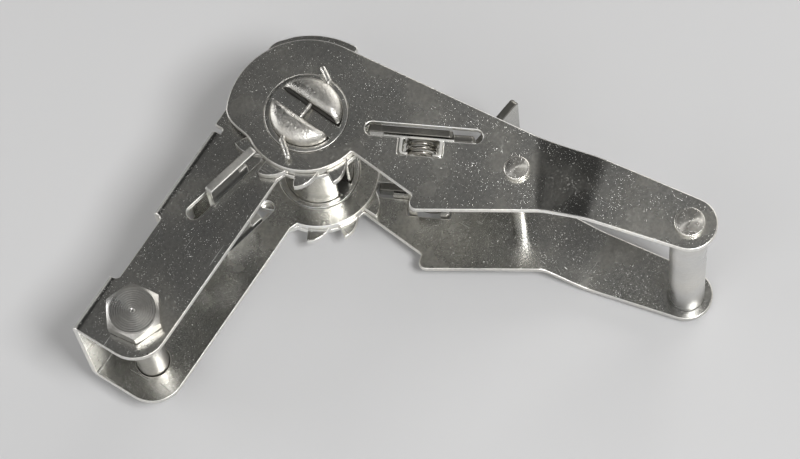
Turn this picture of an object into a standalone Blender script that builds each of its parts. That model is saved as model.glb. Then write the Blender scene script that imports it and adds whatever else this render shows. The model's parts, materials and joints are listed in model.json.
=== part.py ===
"""Ratchet tensioner for 25 mm webbing, lying on its side with the handle part open.

The origin is on the outer face of the base web, midway across. +Z runs along the spindle and the base
frame runs along -X. Sizes below are in millimetres and degrees, measured from the spindle axis; the
meshes are made in metres.
"""

import math

import bmesh
import bpy
from mathutils import Matrix, Vector

MM = 0.001

# Spindle axis, seen from the origin on the web
SPINDLE_AT = (28.0, -18.4, 0.0)

# Stack of sheets across the width, from the middle outwards
SHEET = 1.5
SIDE_GAP = 0.2
FIT_GAP = 0.1
BASE_INNER = 15.7
BASE_OUTER = BASE_INNER + SHEET
WHEEL_INNER = BASE_OUTER + SIDE_GAP
WHEEL_THICKNESS = 2.0
WHEEL_OUTER = WHEEL_INNER + WHEEL_THICKNESS
HANDLE_INNER = WHEEL_OUTER + SIDE_GAP
HANDLE_OUTER = HANDLE_INNER + SHEET
JOGGLE = 4.2
GRIP_INNER = HANDLE_INNER + JOGGLE
GRIP_OUTER = HANDLE_OUTER + JOGGLE

# Directions seen from +Z
HANDLE_ANGLE = -76.4
DRIVE_ANGLE = -63.45
LOCK_ANGLE = 167.1
SPINDLE_ANGLE = -4.5

# Base frame
BASE_END_X = -73.0
BASE_BACK_Y = 18.4
BASE_FRONT_Y = -2.4
BASE_HEAD_RADIUS = 15.0
LOBE_RADIUS = 22.1
LOBE_START = -0.5
LOBE_END = 42.0
WEB_FRONT_X = -14.0
WINDOW_X = (-57.5, -39.0)
WINDOW_INSET = 2.6
BEND_RADIUS = 1.8
ANCHOR = (-62.9, 7.1)

# Handle plates, along and across the line from the spindle to the grip
ROUND_RADIUS = 19.3
NECK_RADIUS = 14.8
TOP_TANGENT = 81.6
RAMP_START = 193.0
RAMP_END = 225.0
NECK_END = 336.0
GRIP_X = 95.4
GRIP_END_RADIUS = 6.6
ROD_AT = (52.3, 1.9)
JOGGLE_START = ((54.0, 9.2), (59.6, -7.5))
JOGGLE_END = ((74.2, 10.1), (73.4, -5.6))

# Hub, wheels and spindle
HUB_RADIUS = 10.0
HUB_CLEARANCE = 0.15
TEETH = 12
TIP_RADIUS = 18.3
ROOT_RADIUS = 14.5
TOOTH_PHASE = -67.9
SHAFT_RADIUS = 8.6
SHAFT_FLAT = 1.9
SHAFT_END = 24.9
PIN_LEVEL = 23.0
PIN_RADIUS = 0.75

# Pawls, along and across their own slots
DRIVE_SLOT = (14.4, 42.6)
DRIVE_SLOT_MIDDLE = -2.45
DRIVE_SLOT_WIDTH = 3.5
DRIVE_PAWL_ACROSS = (-3.1, -1.25)
DRIVE_NOSE = 15.2
DRIVE_REAR = 35.4
TAB_START = 42.0
NOTCH = (22.7, 33.55, -8.45)
LOCK_SLOT = (14.2, 37.0)
LOCK_SLOT_MIDDLE = -2.1
LOCK_SLOT_WIDTH = 3.4
LOCK_PAWL_ACROSS = (-3.0, -0.9)
LOCK_NOSE = 18.6
LOCK_REAR = 30.3
EAR_FRONT = 15.2
EAR_TOP = 22.4

# Bars and fasteners
TUBE_RADIUS = 4.5
TUBE_BORE = 2.75
GRIP_RIVET_RADIUS = 2.5
GRIP_RIVET_HEAD = 3.65
GRIP_RIVET_RISE = 1.2
ROD_RADIUS = 2.2
ROD_NECK = 1.7
ROD_HEAD = 3.1
ROD_RISE = 1.4
BOLT_RADIUS = 3.95
BOLT_FLATS = 12.4
BOLT_HEAD_HEIGHT = 4.4
HEX_TURN = 43.0
NUT_HEIGHT = 6.0
WASHER_HEIGHT = 1.8

STEEL = (0.42, 0.42, 0.40)
BRIGHT_STEEL = (0.62, 0.61, 0.58)
TURNED_STEEL = (0.52, 0.52, 0.50)
SPRING_STEEL = (0.36, 0.35, 0.33)


def remove_start_objects():
    for old in list(bpy.data.objects):
        bpy.data.objects.remove(old, do_unlink=True)


# Plane geometry

def polar(radius, angle):
    return (radius * math.cos(math.radians(angle)), radius * math.sin(math.radians(angle)))


def arc(radius, start, end, steps, centre=(0.0, 0.0)):
    points = []
    for i in range(steps + 1):
        x, y = polar(radius, start + (end - start) * i / steps)
        points.append((centre[0] + x, centre[1] + y))
    return points


def fillet(before, corner, after, radius, steps=4):
    """Points of the round that replaces a corner."""
    p, a, b = Vector(corner), Vector(before), Vector(after)
    to_a, to_b = (a - p).normalized(), (b - p).normalized()
    half = to_a.angle(to_b) / 2
    reach = radius / math.tan(half)
    centre = p + (to_a + to_b).normalized() * (radius / math.sin(half))
    start, end = p + to_a * reach - centre, p + to_b * reach - centre
    first = math.atan2(start.y, start.x)
    turn = math.atan2(start.x * end.y - start.y * end.x, start.dot(end))
    points = []
    for i in range(steps + 1):
        angle = first + turn * i / steps
        points.append((centre.x + radius * math.cos(angle), centre.y + radius * math.sin(angle)))
    return points


def rounded(corners, steps=4):
    """Outline through (x, y) points, where an (x, y, radius) entry is a rounded corner."""
    outline = []
    for i, corner in enumerate(corners):
        if len(corner) == 2:
            outline.append(corner)
            continue
        before, after = corners[i - 1], corners[(i + 1) % len(corners)]
        outline += fillet(before[:2], corner[:2], after[:2], corner[2], steps)
    return outline


def slot_outline(start, end, middle, width, steps=6):
    """Slot with round ends, along x from start to end."""
    radius = width / 2
    return (arc(radius, -90, 90, steps, (end - radius, middle))
            + arc(radius, 90, 270, steps, (start + radius, middle)))


def segment_outline(radius, flat, steps=16):
    """The part of a disc that lies beyond x = flat."""
    half = math.degrees(math.acos(flat / radius))
    return arc(radius, -half, half, steps)


def line_cross(u_value, y_value, angle):
    """Where the line at distance u_value along an angled direction meets y = y_value."""
    along = Vector(polar(1.0, angle))
    across = Vector((-along.y, along.x))
    v_value = (y_value - u_value * along.y) / across.y
    return (u_value * along.x + v_value * across.x, y_value)


def at_line(u, v, angle):
    along = Vector(polar(1.0, angle))
    return (u * along.x - v * along.y, u * along.y + v * along.x)


# Solids

def finish_mesh(bm, name):
    bmesh.ops.remove_doubles(bm, verts=bm.verts, dist=1e-4)
    bmesh.ops.recalc_face_normals(bm, faces=bm.faces)
    bmesh.ops.scale(bm, vec=(MM, MM, MM), verts=bm.verts)
    mesh = bpy.data.meshes.new(name)
    bm.to_mesh(mesh)
    bm.free()
    return mesh


def extruded(outline, low, high, plane="XY"):
    """Closed solid of an outline; plane XZ means the outline is (x, z) and low to high is y."""
    bm = bmesh.new()
    if plane == "XY":
        verts = [bm.verts.new((x, y, low)) for x, y in outline]
        step = Vector((0, 0, high - low))
    else:
        verts = [bm.verts.new((x, low, z)) for x, z in outline]
        step = Vector((0, high - low, 0))
    face = bm.faces.new(verts)
    top = bmesh.ops.extrude_face_region(bm, geom=[face], use_keep_orig=True)["geom"]
    bmesh.ops.translate(bm, vec=step, verts=[g for g in top if isinstance(g, bmesh.types.BMVert)])
    return bm


def revolved(profile, segments=32, closed=False):
    """Solid of (radius, z) points turned about Z; closed joins the last point to the first."""
    bm = bmesh.new()
    rings = []
    for radius, z in profile:
        if radius < 1e-6:
            rings.append([bm.verts.new((0, 0, z))])
            continue
        rings.append([bm.verts.new((*polar(radius, 360 * i / segments), z)) for i in range(segments)])
    pairs = list(zip(rings, rings[1:]))
    if closed:
        pairs.append((rings[-1], rings[0]))
    for lower, upper in pairs:
        for i in range(segments):
            j = (i + 1) % segments
            corners = [lower[i % len(lower)], lower[j % len(lower)], upper[j % len(upper)], upper[i % len(upper)]]
            unique = list(dict.fromkeys(corners))
            bm.faces.new(unique)
    return bm


def swept(path, radius, sides=8):
    """Round bar along a path of points, with flat ends."""
    bm = bmesh.new()
    points = [Vector(p) for p in path]
    rings = []
    side = None
    for i, point in enumerate(points):
        ahead = points[min(i + 1, len(points) - 1)] - points[max(i - 1, 0)]
        ahead.normalize()
        if side is None:
            side = ahead.orthogonal().normalized()
        side = (side - ahead * side.dot(ahead)).normalized()
        other = ahead.cross(side)
        ring = []
        for k in range(sides):
            turn = 2 * math.pi * k / sides
            ring.append(bm.verts.new(point + (side * math.cos(turn) + other * math.sin(turn)) * radius))
        rings.append(ring)
    for lower, upper in zip(rings, rings[1:]):
        for k in range(sides):
            bm.faces.new([lower[k], lower[(k + 1) % sides], upper[(k + 1) % sides], upper[k]])
    bm.faces.new(rings[0][::-1])
    bm.faces.new(rings[-1])
    return bm


def coil_path(coil_radius, length, turns, steps=14):
    """Helix along +X that starts and ends with half a flat turn."""
    path = []
    count = int(turns * steps)
    for i in range(count + 1):
        share = min(max((i / steps - 0.5) / (turns - 1), 0.0), 1.0)
        y, z = polar(coil_radius, 360 * i / steps)
        path.append((length * share, y, z))
    return path


# Objects

def steel(name, colour, roughness):
    material = bpy.data.materials.get(name)
    if material:
        return material
    material = bpy.data.materials.new(name)
    material.use_nodes = True
    shader = material.node_tree.nodes["Principled BSDF"]
    shader.inputs["Base Color"].default_value = (*colour, 1.0)
    shader.inputs["Metallic"].default_value = 1.0
    shader.inputs["Roughness"].default_value = roughness
    return material


def axis_empty(name, angle=0.0, location=(0.0, 0.0, 0.0)):
    empty = bpy.data.objects.new(name, None)
    empty.rotation_euler = (0, 0, math.radians(angle))
    empty.location = Vector(location) * MM
    bpy.context.collection.objects.link(empty)
    return empty


def add_part(name, bm, parent, colour=STEEL, roughness=0.25, smooth=False):
    mesh = finish_mesh(bm, name)
    mesh.materials.append(steel(name + "_steel", colour, roughness))
    if smooth:
        mesh.shade_smooth()
        mesh.set_sharp_from_angle(angle=math.radians(35))
    part = bpy.data.objects.new(name, mesh)
    part.parent = parent
    bpy.context.collection.objects.link(part)
    return part


def add_helper(name, bm, parent):
    """Hidden solid that a Boolean uses."""
    helper = bpy.data.objects.new(name, finish_mesh(bm, name))
    helper.parent = parent
    helper.hide_render = True
    helper.display_type = "WIRE"
    bpy.context.collection.objects.link(helper)
    return helper


def combine(part, helper, operation="DIFFERENCE"):
    modifier = part.modifiers.new(helper.name, "BOOLEAN")
    modifier.operation = operation
    modifier.solver = "EXACT"
    modifier.object = helper


# Base frame and anchor bolt

def base_outline():
    """One side plate: back edge, lobe, round head, front edge and rounded end."""
    lobe = arc(LOBE_RADIUS, LOBE_START + 3.0, LOBE_END, 8)
    head = arc(BASE_HEAD_RADIUS, -168.0, LOBE_START - 3.0, 22)
    front_bend_x = -BASE_HEAD_RADIUS - 1.6
    corners = [(BASE_END_X, BASE_BACK_Y), (BASE_END_X, BASE_FRONT_Y, 8.0), (front_bend_x, BASE_FRONT_Y)]
    corners += head
    corners += [(*polar(BASE_HEAD_RADIUS + 1.5, LOBE_START),), (*polar(LOBE_RADIUS, LOBE_START), 1.0)]
    corners += lobe
    corners += [(12.4, BASE_BACK_Y, 5.0)]
    return rounded(corners, steps=5)


def round_back_bends(bm):
    """Rounds the two long folds between the side plates and the web."""
    folds = []
    for edge in bm.edges:
        start, end = (vert.co for vert in edge.verts)
        on_back = abs(start.y - BASE_BACK_Y) < 1e-3 and abs(end.y - BASE_BACK_Y) < 1e-3
        if on_back and abs(start.z - end.z) < 1e-3 and edge.calc_length() > 30:
            folds.append(edge)
    bmesh.ops.bevel(bm, geom=folds, offset=BEND_RADIUS, segments=3, profile=0.5, affect="EDGES")


def make_base_frame(base_axis, lock_line):
    bm = extruded(base_outline(), -BASE_OUTER, BASE_OUTER)
    round_back_bends(bm)
    base = add_part("base_frame", bm, base_axis)
    bore = revolved([(0, -25), (HUB_RADIUS + HUB_CLEARANCE, -25), (HUB_RADIUS + HUB_CLEARANCE, 25), (0, 25)], 48)
    combine(base, add_helper("base_hub_cut", bore, base_axis))
    bolt_hole = arc(BOLT_RADIUS + 0.2, 0, 345, 23, ANCHOR)
    combine(base, add_helper("base_bolt_cut", extruded(bolt_hole, -25, 25), base_axis))
    slot = slot_outline(*LOCK_SLOT, LOCK_SLOT_MIDDLE, LOCK_SLOT_WIDTH)
    combine(base, add_helper("base_slot_cut", extruded(slot, -25, 25), lock_line))
    inner_back = BASE_BACK_Y - SHEET
    hollow = [(BASE_END_X - 5, -30), (30, -30), (30, 30), (WEB_FRONT_X, 30), (WEB_FRONT_X, inner_back),
              (BASE_END_X - 5, inner_back)]
    combine(base, add_helper("base_hollow_cut", extruded(hollow, -BASE_INNER, BASE_INNER), base_axis))
    low, high = WINDOW_X
    back = BASE_BACK_Y - WINDOW_INSET
    window = rounded([(low, back, 1.2), (high, back, 1.2), (high, 30), (low, 30)])
    combine(base, add_helper("base_window_cut", extruded(window, -25, 25), base_axis))


def hexagon(flats, turn):
    return arc(flats / math.sqrt(3), turn, turn + 300, 5)


def chamfer_body(low, high, both_ends):
    """Turned shape that takes the corners off a hexagon."""
    wide, narrow = BOLT_FLATS / math.sqrt(3) + 0.1, BOLT_FLATS / 2 - 0.45
    fall = 0.85
    if both_ends:
        profile = [(0, low), (narrow, low), (wide, low + fall), (wide, high - fall), (narrow, high), (0, high)]
    else:
        profile = [(0, low - 1), (wide, low - 1), (wide, high - fall), (narrow, high), (0, high)]
    return revolved(profile, 36)


def make_anchor(base_axis):
    bolt_axis = axis_empty("anchor_axis", 0.0, (*ANCHOR, 0))
    bolt_axis.parent = base_axis
    head_low = BASE_OUTER + FIT_GAP
    head_high = head_low + BOLT_HEAD_HEIGHT
    washer_high = -BASE_OUTER - FIT_GAP
    nut_high = washer_high - WASHER_HEIGHT - FIT_GAP
    bolt = add_part("anchor_bolt", extruded(hexagon(BOLT_FLATS, HEX_TURN), head_low, head_high), bolt_axis,
                    TURNED_STEEL, 0.3)
    combine(bolt, add_helper("bolt_head_chamfer", chamfer_body(head_low, head_high, False), bolt_axis), "INTERSECT")
    tip = nut_high - NUT_HEIGHT - 0.8
    shank = revolved([(0, tip), (BOLT_RADIUS - 0.6, tip), (BOLT_RADIUS, tip + 0.6),
                      (BOLT_RADIUS, head_low + 1), (0, head_low + 1)], 24)
    combine(bolt, add_helper("bolt_shank", shank, bolt_axis), "UNION")
    nut = add_part("anchor_nut", extruded(hexagon(BOLT_FLATS, HEX_TURN), nut_high - NUT_HEIGHT, nut_high),
                   bolt_axis, TURNED_STEEL, 0.3)
    combine(nut, add_helper("nut_chamfer", chamfer_body(nut_high - NUT_HEIGHT, nut_high, True), bolt_axis),
            "INTERSECT")
    thread = extruded(arc(BOLT_RADIUS + 0.15, 0, 345, 23), nut_high - NUT_HEIGHT - 1, nut_high + 1)
    combine(nut, add_helper("nut_thread_cut", thread, bolt_axis))
    ring = arc(6.6, 6, 354, 29) + arc(BOLT_RADIUS + 0.25, 351, 9, 22)
    add_part("anchor_spring_washer", extruded(ring, washer_high - WASHER_HEIGHT, washer_high), bolt_axis,
             SPRING_STEEL, 0.35)


# Handle

def handle_outline():
    """Round end with its release ramp, neck, hooked lower edge, grip end and straight upper edge."""
    outline = arc(ROUND_RADIUS, TOP_TANGENT, RAMP_START, 24)
    ramp_steps = 8
    for i in range(1, ramp_steps):
        share = i / ramp_steps
        ease = share * share * (3 - 2 * share)
        radius = ROUND_RADIUS + (NECK_RADIUS - ROUND_RADIUS) * ease
        outline.append(polar(radius, RAMP_START + (RAMP_END - RAMP_START) * share))
    outline += arc(NECK_RADIUS, RAMP_END, NECK_END, 20)
    outline += [(13.95, -5.95, 0.5), (30.75, -11.72, 0.6), (30.75, -15.85, 1.8), (60.8, -6.3, 8.0)]
    outline += arc(GRIP_END_RADIUS, -90, 83, 14, (GRIP_X, 0.0))
    outline += [(60.0, 10.6)]
    return rounded(outline)


def joggle_share(x, y):
    """0 before the first bend line, 1 after the second, eased between them."""
    def line_x(line):
        (x0, y0), (x1, y1) = line
        return x0 + (x1 - x0) * (y - y0) / (y1 - y0)
    start, end = line_x(JOGGLE_START), line_x(JOGGLE_END)
    share = min(max((x - start) / (end - start), 0.0), 1.0)
    return share * share * (3 - 2 * share)


def joggle_cut_lines(count):
    lines = []
    for i in range(count + 1):
        share = i / count
        ends = [Vector(a).lerp(Vector(b), share) for a, b in zip(JOGGLE_START, JOGGLE_END)]
        lines.append(ends)
    return lines


def joggled_sheet(side):
    """Handle plate outline given its thickness, then stepped outwards towards the grip."""
    low, high = sorted((side * HANDLE_INNER, side * HANDLE_OUTER))
    bm = extruded(handle_outline(), low, high)
    for top, bottom in joggle_cut_lines(6):
        along = bottom - top
        normal = Vector((along.y, -along.x, 0))
        geometry = list(bm.verts) + list(bm.edges) + list(bm.faces)
        bmesh.ops.bisect_plane(bm, geom=geometry, plane_co=(top.x, top.y, 0), plane_no=normal)
    for vert in bm.verts:
        vert.co.z += side * JOGGLE * joggle_share(vert.co.x, vert.co.y)
    bmesh.ops.triangulate(bm, faces=bm.faces)
    return bm


def make_handle_plate(name, side, handle_axis, drive_line):
    plate = add_part(name, joggled_sheet(side), handle_axis)
    low, high = sorted((side * 12.0, side * 35.0))
    hub_hole = arc(HUB_RADIUS + HUB_CLEARANCE, 0, 352.5, 47)
    combine(plate, add_helper(name + "_hub_cut", extruded(hub_hole, low, high), handle_axis))
    rod_hole = arc(ROD_NECK + FIT_GAP, 0, 345, 23, ROD_AT)
    combine(plate, add_helper(name + "_rod_cut", extruded(rod_hole, low, high), handle_axis))
    grip_hole = arc(GRIP_RIVET_RADIUS + FIT_GAP, 0, 345, 23, (GRIP_X, 0.0))
    combine(plate, add_helper(name + "_grip_cut", extruded(grip_hole, low, high), handle_axis))
    slot = slot_outline(*DRIVE_SLOT, DRIVE_SLOT_MIDDLE, DRIVE_SLOT_WIDTH)
    combine(plate, add_helper(name + "_slot_cut", extruded(slot, low, high), drive_line))
    start, end, bottom = NOTCH
    notch = rounded([(start, bottom, 0.3), (end, bottom, 0.3), (end, DRIVE_SLOT_MIDDLE), (start, DRIVE_SLOT_MIDDLE)])
    combine(plate, add_helper(name + "_notch_cut", extruded(notch, low, high), drive_line))


def rivet_profile(shank, head, plate_face, rise):
    """Half profile of the button head at each end of a bar, from the bottom up."""
    seat = plate_face + FIT_GAP
    upper = [(shank, seat), (head, seat), (head, seat + rise * 0.7), (head * 0.88, seat + rise), (0, seat + rise)]
    lower = [(radius, -z) for radius, z in reversed(upper)]
    return lower, upper


def make_grip(handle_axis):
    grip_axis = axis_empty("grip_axis", 0.0, (GRIP_X, 0, 0))
    grip_axis.parent = handle_axis
    half = GRIP_INNER - 0.2
    tube = [(TUBE_BORE, -half), (TUBE_RADIUS, -half), (TUBE_RADIUS, half), (TUBE_BORE, half)]
    add_part("grip_tube", revolved(tube, 40, closed=True), grip_axis, BRIGHT_STEEL, 0.18, smooth=True)
    lower, upper = rivet_profile(GRIP_RIVET_RADIUS, GRIP_RIVET_HEAD, GRIP_OUTER, GRIP_RIVET_RISE)
    add_part("grip_rivet", revolved(lower + upper, 28), grip_axis, BRIGHT_STEEL, 0.22, smooth=True)


def make_cross_rod(handle_axis):
    rod_axis = axis_empty("cross_rod_axis", 0.0, (*ROD_AT, 0))
    rod_axis.parent = handle_axis
    lower, upper = rivet_profile(ROD_NECK, ROD_HEAD, HANDLE_OUTER, ROD_RISE)
    shoulder = HANDLE_INNER - FIT_GAP
    body = [(ROD_NECK, -shoulder), (ROD_RADIUS, -shoulder), (ROD_RADIUS, shoulder), (ROD_NECK, shoulder)]
    add_part("cross_rod", revolved(lower + body + upper, 24), rod_axis, BRIGHT_STEEL, 0.22, smooth=True)


# Ratchet wheels and spindle

def wheel_outline():
    """Claw-shaped teeth: a steep face, a rounded tip and a long, full back."""
    steep = [(0.0, ROOT_RADIUS), (0.8, TIP_RADIUS - 0.4), (1.7, TIP_RADIUS)]
    back_end = 22.5
    back_steps = 6
    outline = []
    for tooth in range(TEETH):
        base = TOOTH_PHASE + 360.0 * tooth / TEETH
        outline += [polar(radius, base + angle) for angle, radius in steep]
        for i in range(1, back_steps + 1):
            share = i / back_steps
            radius = TIP_RADIUS - (TIP_RADIUS - ROOT_RADIUS) * share ** 1.6
            outline.append(polar(radius, base + 1.7 + (back_end - 1.7) * share))
    return outline


def turned_points(points, angle):
    return [at_line(x, y, angle) for x, y in points]


def make_wheel(name, side, spindle_axis):
    low, high = sorted((side * WHEEL_INNER, side * WHEEL_OUTER))
    wheel = add_part(name, extruded(wheel_outline(), low, high), spindle_axis, BRIGHT_STEEL, 0.3)
    hub_low, hub_high = sorted((side * (BASE_INNER + 0.1), side * (HANDLE_OUTER + 0.2)))
    hub = extruded(arc(HUB_RADIUS, 0, 352.5, 47), hub_low, hub_high)
    combine(wheel, add_helper(name + "_hub", hub, spindle_axis), "UNION")
    for turn in (0, 180):
        moon = segment_outline(SHAFT_RADIUS + FIT_GAP, SHAFT_FLAT - FIT_GAP, 20)
        moon = turned_points(moon, SPINDLE_ANGLE + turn)
        cut = extruded(moon, hub_low - 1, hub_high + 1)
        combine(wheel, add_helper(f"{name}_moon_cut_{turn}", cut, spindle_axis))


def shaft_profile():
    """Half profile of the whole spindle, with its rounded ends."""
    upper = [(SHAFT_RADIUS, SHAFT_END - 1.9), (SHAFT_RADIUS - 0.25, SHAFT_END - 1.0),
             (SHAFT_RADIUS - 0.9, SHAFT_END - 0.3), (SHAFT_RADIUS - 2.0, SHAFT_END), (0, SHAFT_END)]
    return [(radius, -z) for radius, z in reversed(upper)] + upper


def make_spindle_half(name, turn, spindle_axis):
    half_axis = axis_empty(name + "_axis", SPINDLE_ANGLE + turn)
    half_axis.parent = spindle_axis
    half = add_part(name, revolved(shaft_profile(), 48), half_axis, BRIGHT_STEEL, 0.25, smooth=True)
    block = [(SHAFT_FLAT, -12), (20, -12), (20, 12), (SHAFT_FLAT, 12)]
    combine(half, add_helper(name + "_keep", extruded(block, -30, 30), half_axis), "INTERSECT")
    for side in (1, -1):
        hole = swept([(-15, 0, side * PIN_LEVEL), (15, 0, side * PIN_LEVEL)], PIN_RADIUS + 0.2, 10)
        combine(half, add_helper(f"{name}_pin_cut_{side}", hole, half_axis))


def make_split_pin(name, side, spindle_axis):
    level = side * PIN_LEVEL
    path = [(-10.9, -5.2, level), (-10.0, -2.2, level), (-9.3, -0.6, level), (-8.9, 0.0, level), (8.9, 0.0, level),
            (9.5, 0.5, level), (11.0, 3.4, level)]
    pin_axis = axis_empty(name + "_axis", SPINDLE_ANGLE)
    pin_axis.parent = spindle_axis
    add_part(name, swept(path, PIN_RADIUS, 8), pin_axis, BRIGHT_STEEL, 0.25, smooth=True)


# Drive pawl, its guide and springs

def mirrored_half(half):
    """Closed (x, z) outline from its upper half, listed from the middle line outwards."""
    return half + [(x, -z) for x, z in reversed(half)]


def make_drive_pawl(drive_line):
    low, high = DRIVE_PAWL_ACROSS
    lobe_clear = LOBE_RADIUS + 0.6
    ear = HANDLE_OUTER - 0.2
    tab_half = 15.0
    half = [(lobe_clear, BASE_OUTER + 0.1), (DRIVE_NOSE, BASE_OUTER + 0.1), (DRIVE_NOSE, ear), (DRIVE_REAR, ear),
            (DRIVE_REAR, tab_half), (TAB_START, tab_half)]
    pawl = add_part("drive_pawl", extruded(mirrored_half(half), low, high, "XZ"), drive_line)
    bend = Vector((TAB_START - 1.0, low))
    tip = bend + Vector(polar(15.4, 56.8))
    across = Vector(polar(high - low, 146.8))
    profile = [bend, tip, tip + across, (TAB_START - 2.1, high)]
    tab = extruded([tuple(point) for point in profile], -tab_half, tab_half)
    combine(pawl, add_helper("drive_pawl_tab", tab, drive_line), "UNION")
    window = [(25.0, -3.5), (35.5, -3.5), (35.5, 3.5), (25.0, 3.5)]
    combine(pawl, add_helper("drive_pawl_window_cut", extruded(window, low - 2, high + 2, "XZ"), drive_line))


def guide_end_outline():
    """Section of the guide at its ends: the strip with two legs and their inward feet."""
    top, strip, foot_top, foot = -3.45, -4.15, -7.5, -8.3
    wall = 0.8
    start, end = NOTCH[0] + 0.15, NOTCH[1] - 0.15
    return [(18.8, top), (18.8, strip), (start, strip), (start, foot), (start + 2.4, foot), (start + 2.4, foot_top),
            (start + wall, foot_top), (start + wall, strip), (end - wall, strip), (end - wall, foot_top),
            (end - 2.4, foot_top), (end - 2.4, foot), (end, foot), (end, strip), (36.0, strip), (36.0, top)]


def make_drive_guide(drive_line):
    end = HANDLE_OUTER - 0.3
    front = LOBE_RADIUS + 0.5
    strip = [(front, -4.15), (36.0, -4.15), (36.0, -3.45), (front, -3.45)]
    guide = add_part("drive_pawl_guide", extruded(strip, -end + 0.5, end - 0.5), drive_line, BRIGHT_STEEL, 0.3)
    for side in (1, -1):
        low, high = sorted((side * (BASE_OUTER + 0.4), side * end))
        legs = extruded(guide_end_outline(), low, high)
        combine(guide, add_helper(f"drive_guide_legs_{side}", legs, drive_line), "UNION")
    lug = [(34.2, -3.8), (35.0, -3.8), (35.0, 1.4), (34.2, 1.4)]
    combine(guide, add_helper("drive_guide_lug", extruded(lug, -2.8, 2.8), drive_line), "UNION")


def make_spring(name, parent, location, rotation, coil_radius, wire, length, turns):
    bm = swept(coil_path(coil_radius, length, turns), wire / 2, 6)
    turn = Matrix.Rotation(math.radians(rotation), 4, "Z")
    bmesh.ops.transform(bm, matrix=Matrix.Translation(Vector(location)) @ turn, verts=bm.verts)
    add_part(name, bm, parent, SPRING_STEEL, 0.3, smooth=True)


# Lock pawl, its spring and spring seat

def make_lock_pawl(lock_line):
    nose_top = WHEEL_OUTER
    under = HANDLE_OUTER + 0.25
    half = [(22.0, BASE_INNER - 0.3), (LOCK_NOSE, BASE_INNER - 0.3), (LOCK_NOSE, nose_top), (21.0, nose_top),
            (21.0, under), (EAR_FRONT, under), (EAR_FRONT, EAR_TOP), (LOCK_REAR, EAR_TOP)]
    low, high = LOCK_PAWL_ACROSS
    add_part("lock_pawl", extruded(mirrored_half(half), low, high, "XZ"), lock_line, BRIGHT_STEEL, 0.3)


def make_lock_seat(base_axis):
    near, far = 40.0, 40.8
    outer, inner = BASE_BACK_Y - SHEET - 0.05, BASE_BACK_Y - SHEET - 0.85
    outline = [at_line(near, 0.6, LOCK_ANGLE), line_cross(near, inner, LOCK_ANGLE), (-29.0, inner), (-29.0, outer),
               line_cross(far, outer, LOCK_ANGLE), at_line(far, 0.6, LOCK_ANGLE)]
    add_part("lock_spring_seat", extruded(outline, -5.0, 5.0), base_axis)


def main():
    remove_start_objects()
    spindle_point = axis_empty("spindle_point", 0.0, SPINDLE_AT)
    base_axis = axis_empty("base_axis")
    handle_axis = axis_empty("handle_axis", HANDLE_ANGLE)
    spindle_axis = axis_empty("spindle_axis")
    drive_line = axis_empty("drive_pawl_line", DRIVE_ANGLE)
    lock_line = axis_empty("lock_pawl_line", LOCK_ANGLE)
    for axis in (base_axis, handle_axis, spindle_axis, drive_line, lock_line):
        axis.parent = spindle_point

    make_base_frame(base_axis, lock_line)
    make_anchor(base_axis)
    make_lock_seat(base_axis)
    make_lock_pawl(lock_line)
    make_spring("lock_spring", lock_line, (LOCK_REAR + 0.5, LOCK_SLOT_MIDDLE, 0), 0, 2.2, 0.5, 8.7, 7)

    make_handle_plate("handle_plate_left", 1, handle_axis, drive_line)
    make_handle_plate("handle_plate_right", -1, handle_axis, drive_line)
    make_grip(handle_axis)
    make_cross_rod(handle_axis)
    make_drive_guide(drive_line)
    make_drive_pawl(drive_line)
    make_spring("drive_return_spring", drive_line, (25.5, -1.2, 0), 0, 1.9, 0.5, 8.3, 7)
    spring_u = sum(NOTCH[:2]) / 2
    make_spring("guide_spring_left", drive_line, (spring_u, -4.75, 16.6), -90, 3.6, 1.0, 2.2, 2.5)
    make_spring("guide_spring_right", drive_line, (spring_u, -4.75, -16.6), -90, 3.6, 1.0, 2.2, 2.5)

    make_wheel("ratchet_wheel_left", 1, spindle_axis)
    make_wheel("ratchet_wheel_right", -1, spindle_axis)
    make_spindle_half("spindle_half_a", 0, spindle_axis)
    make_spindle_half("spindle_half_b", 180, spindle_axis)
    make_split_pin("split_pin_left", 1, spindle_axis)
    make_split_pin("split_pin_right", -1, spindle_axis)


main()
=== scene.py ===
"""Detailed look of the ratchet tensioner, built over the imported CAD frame."""

import json
import math

import bmesh
import bpy
from mathutils import Matrix, Vector
from mathutils.geometry import delaunay_2d_cdt


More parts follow.
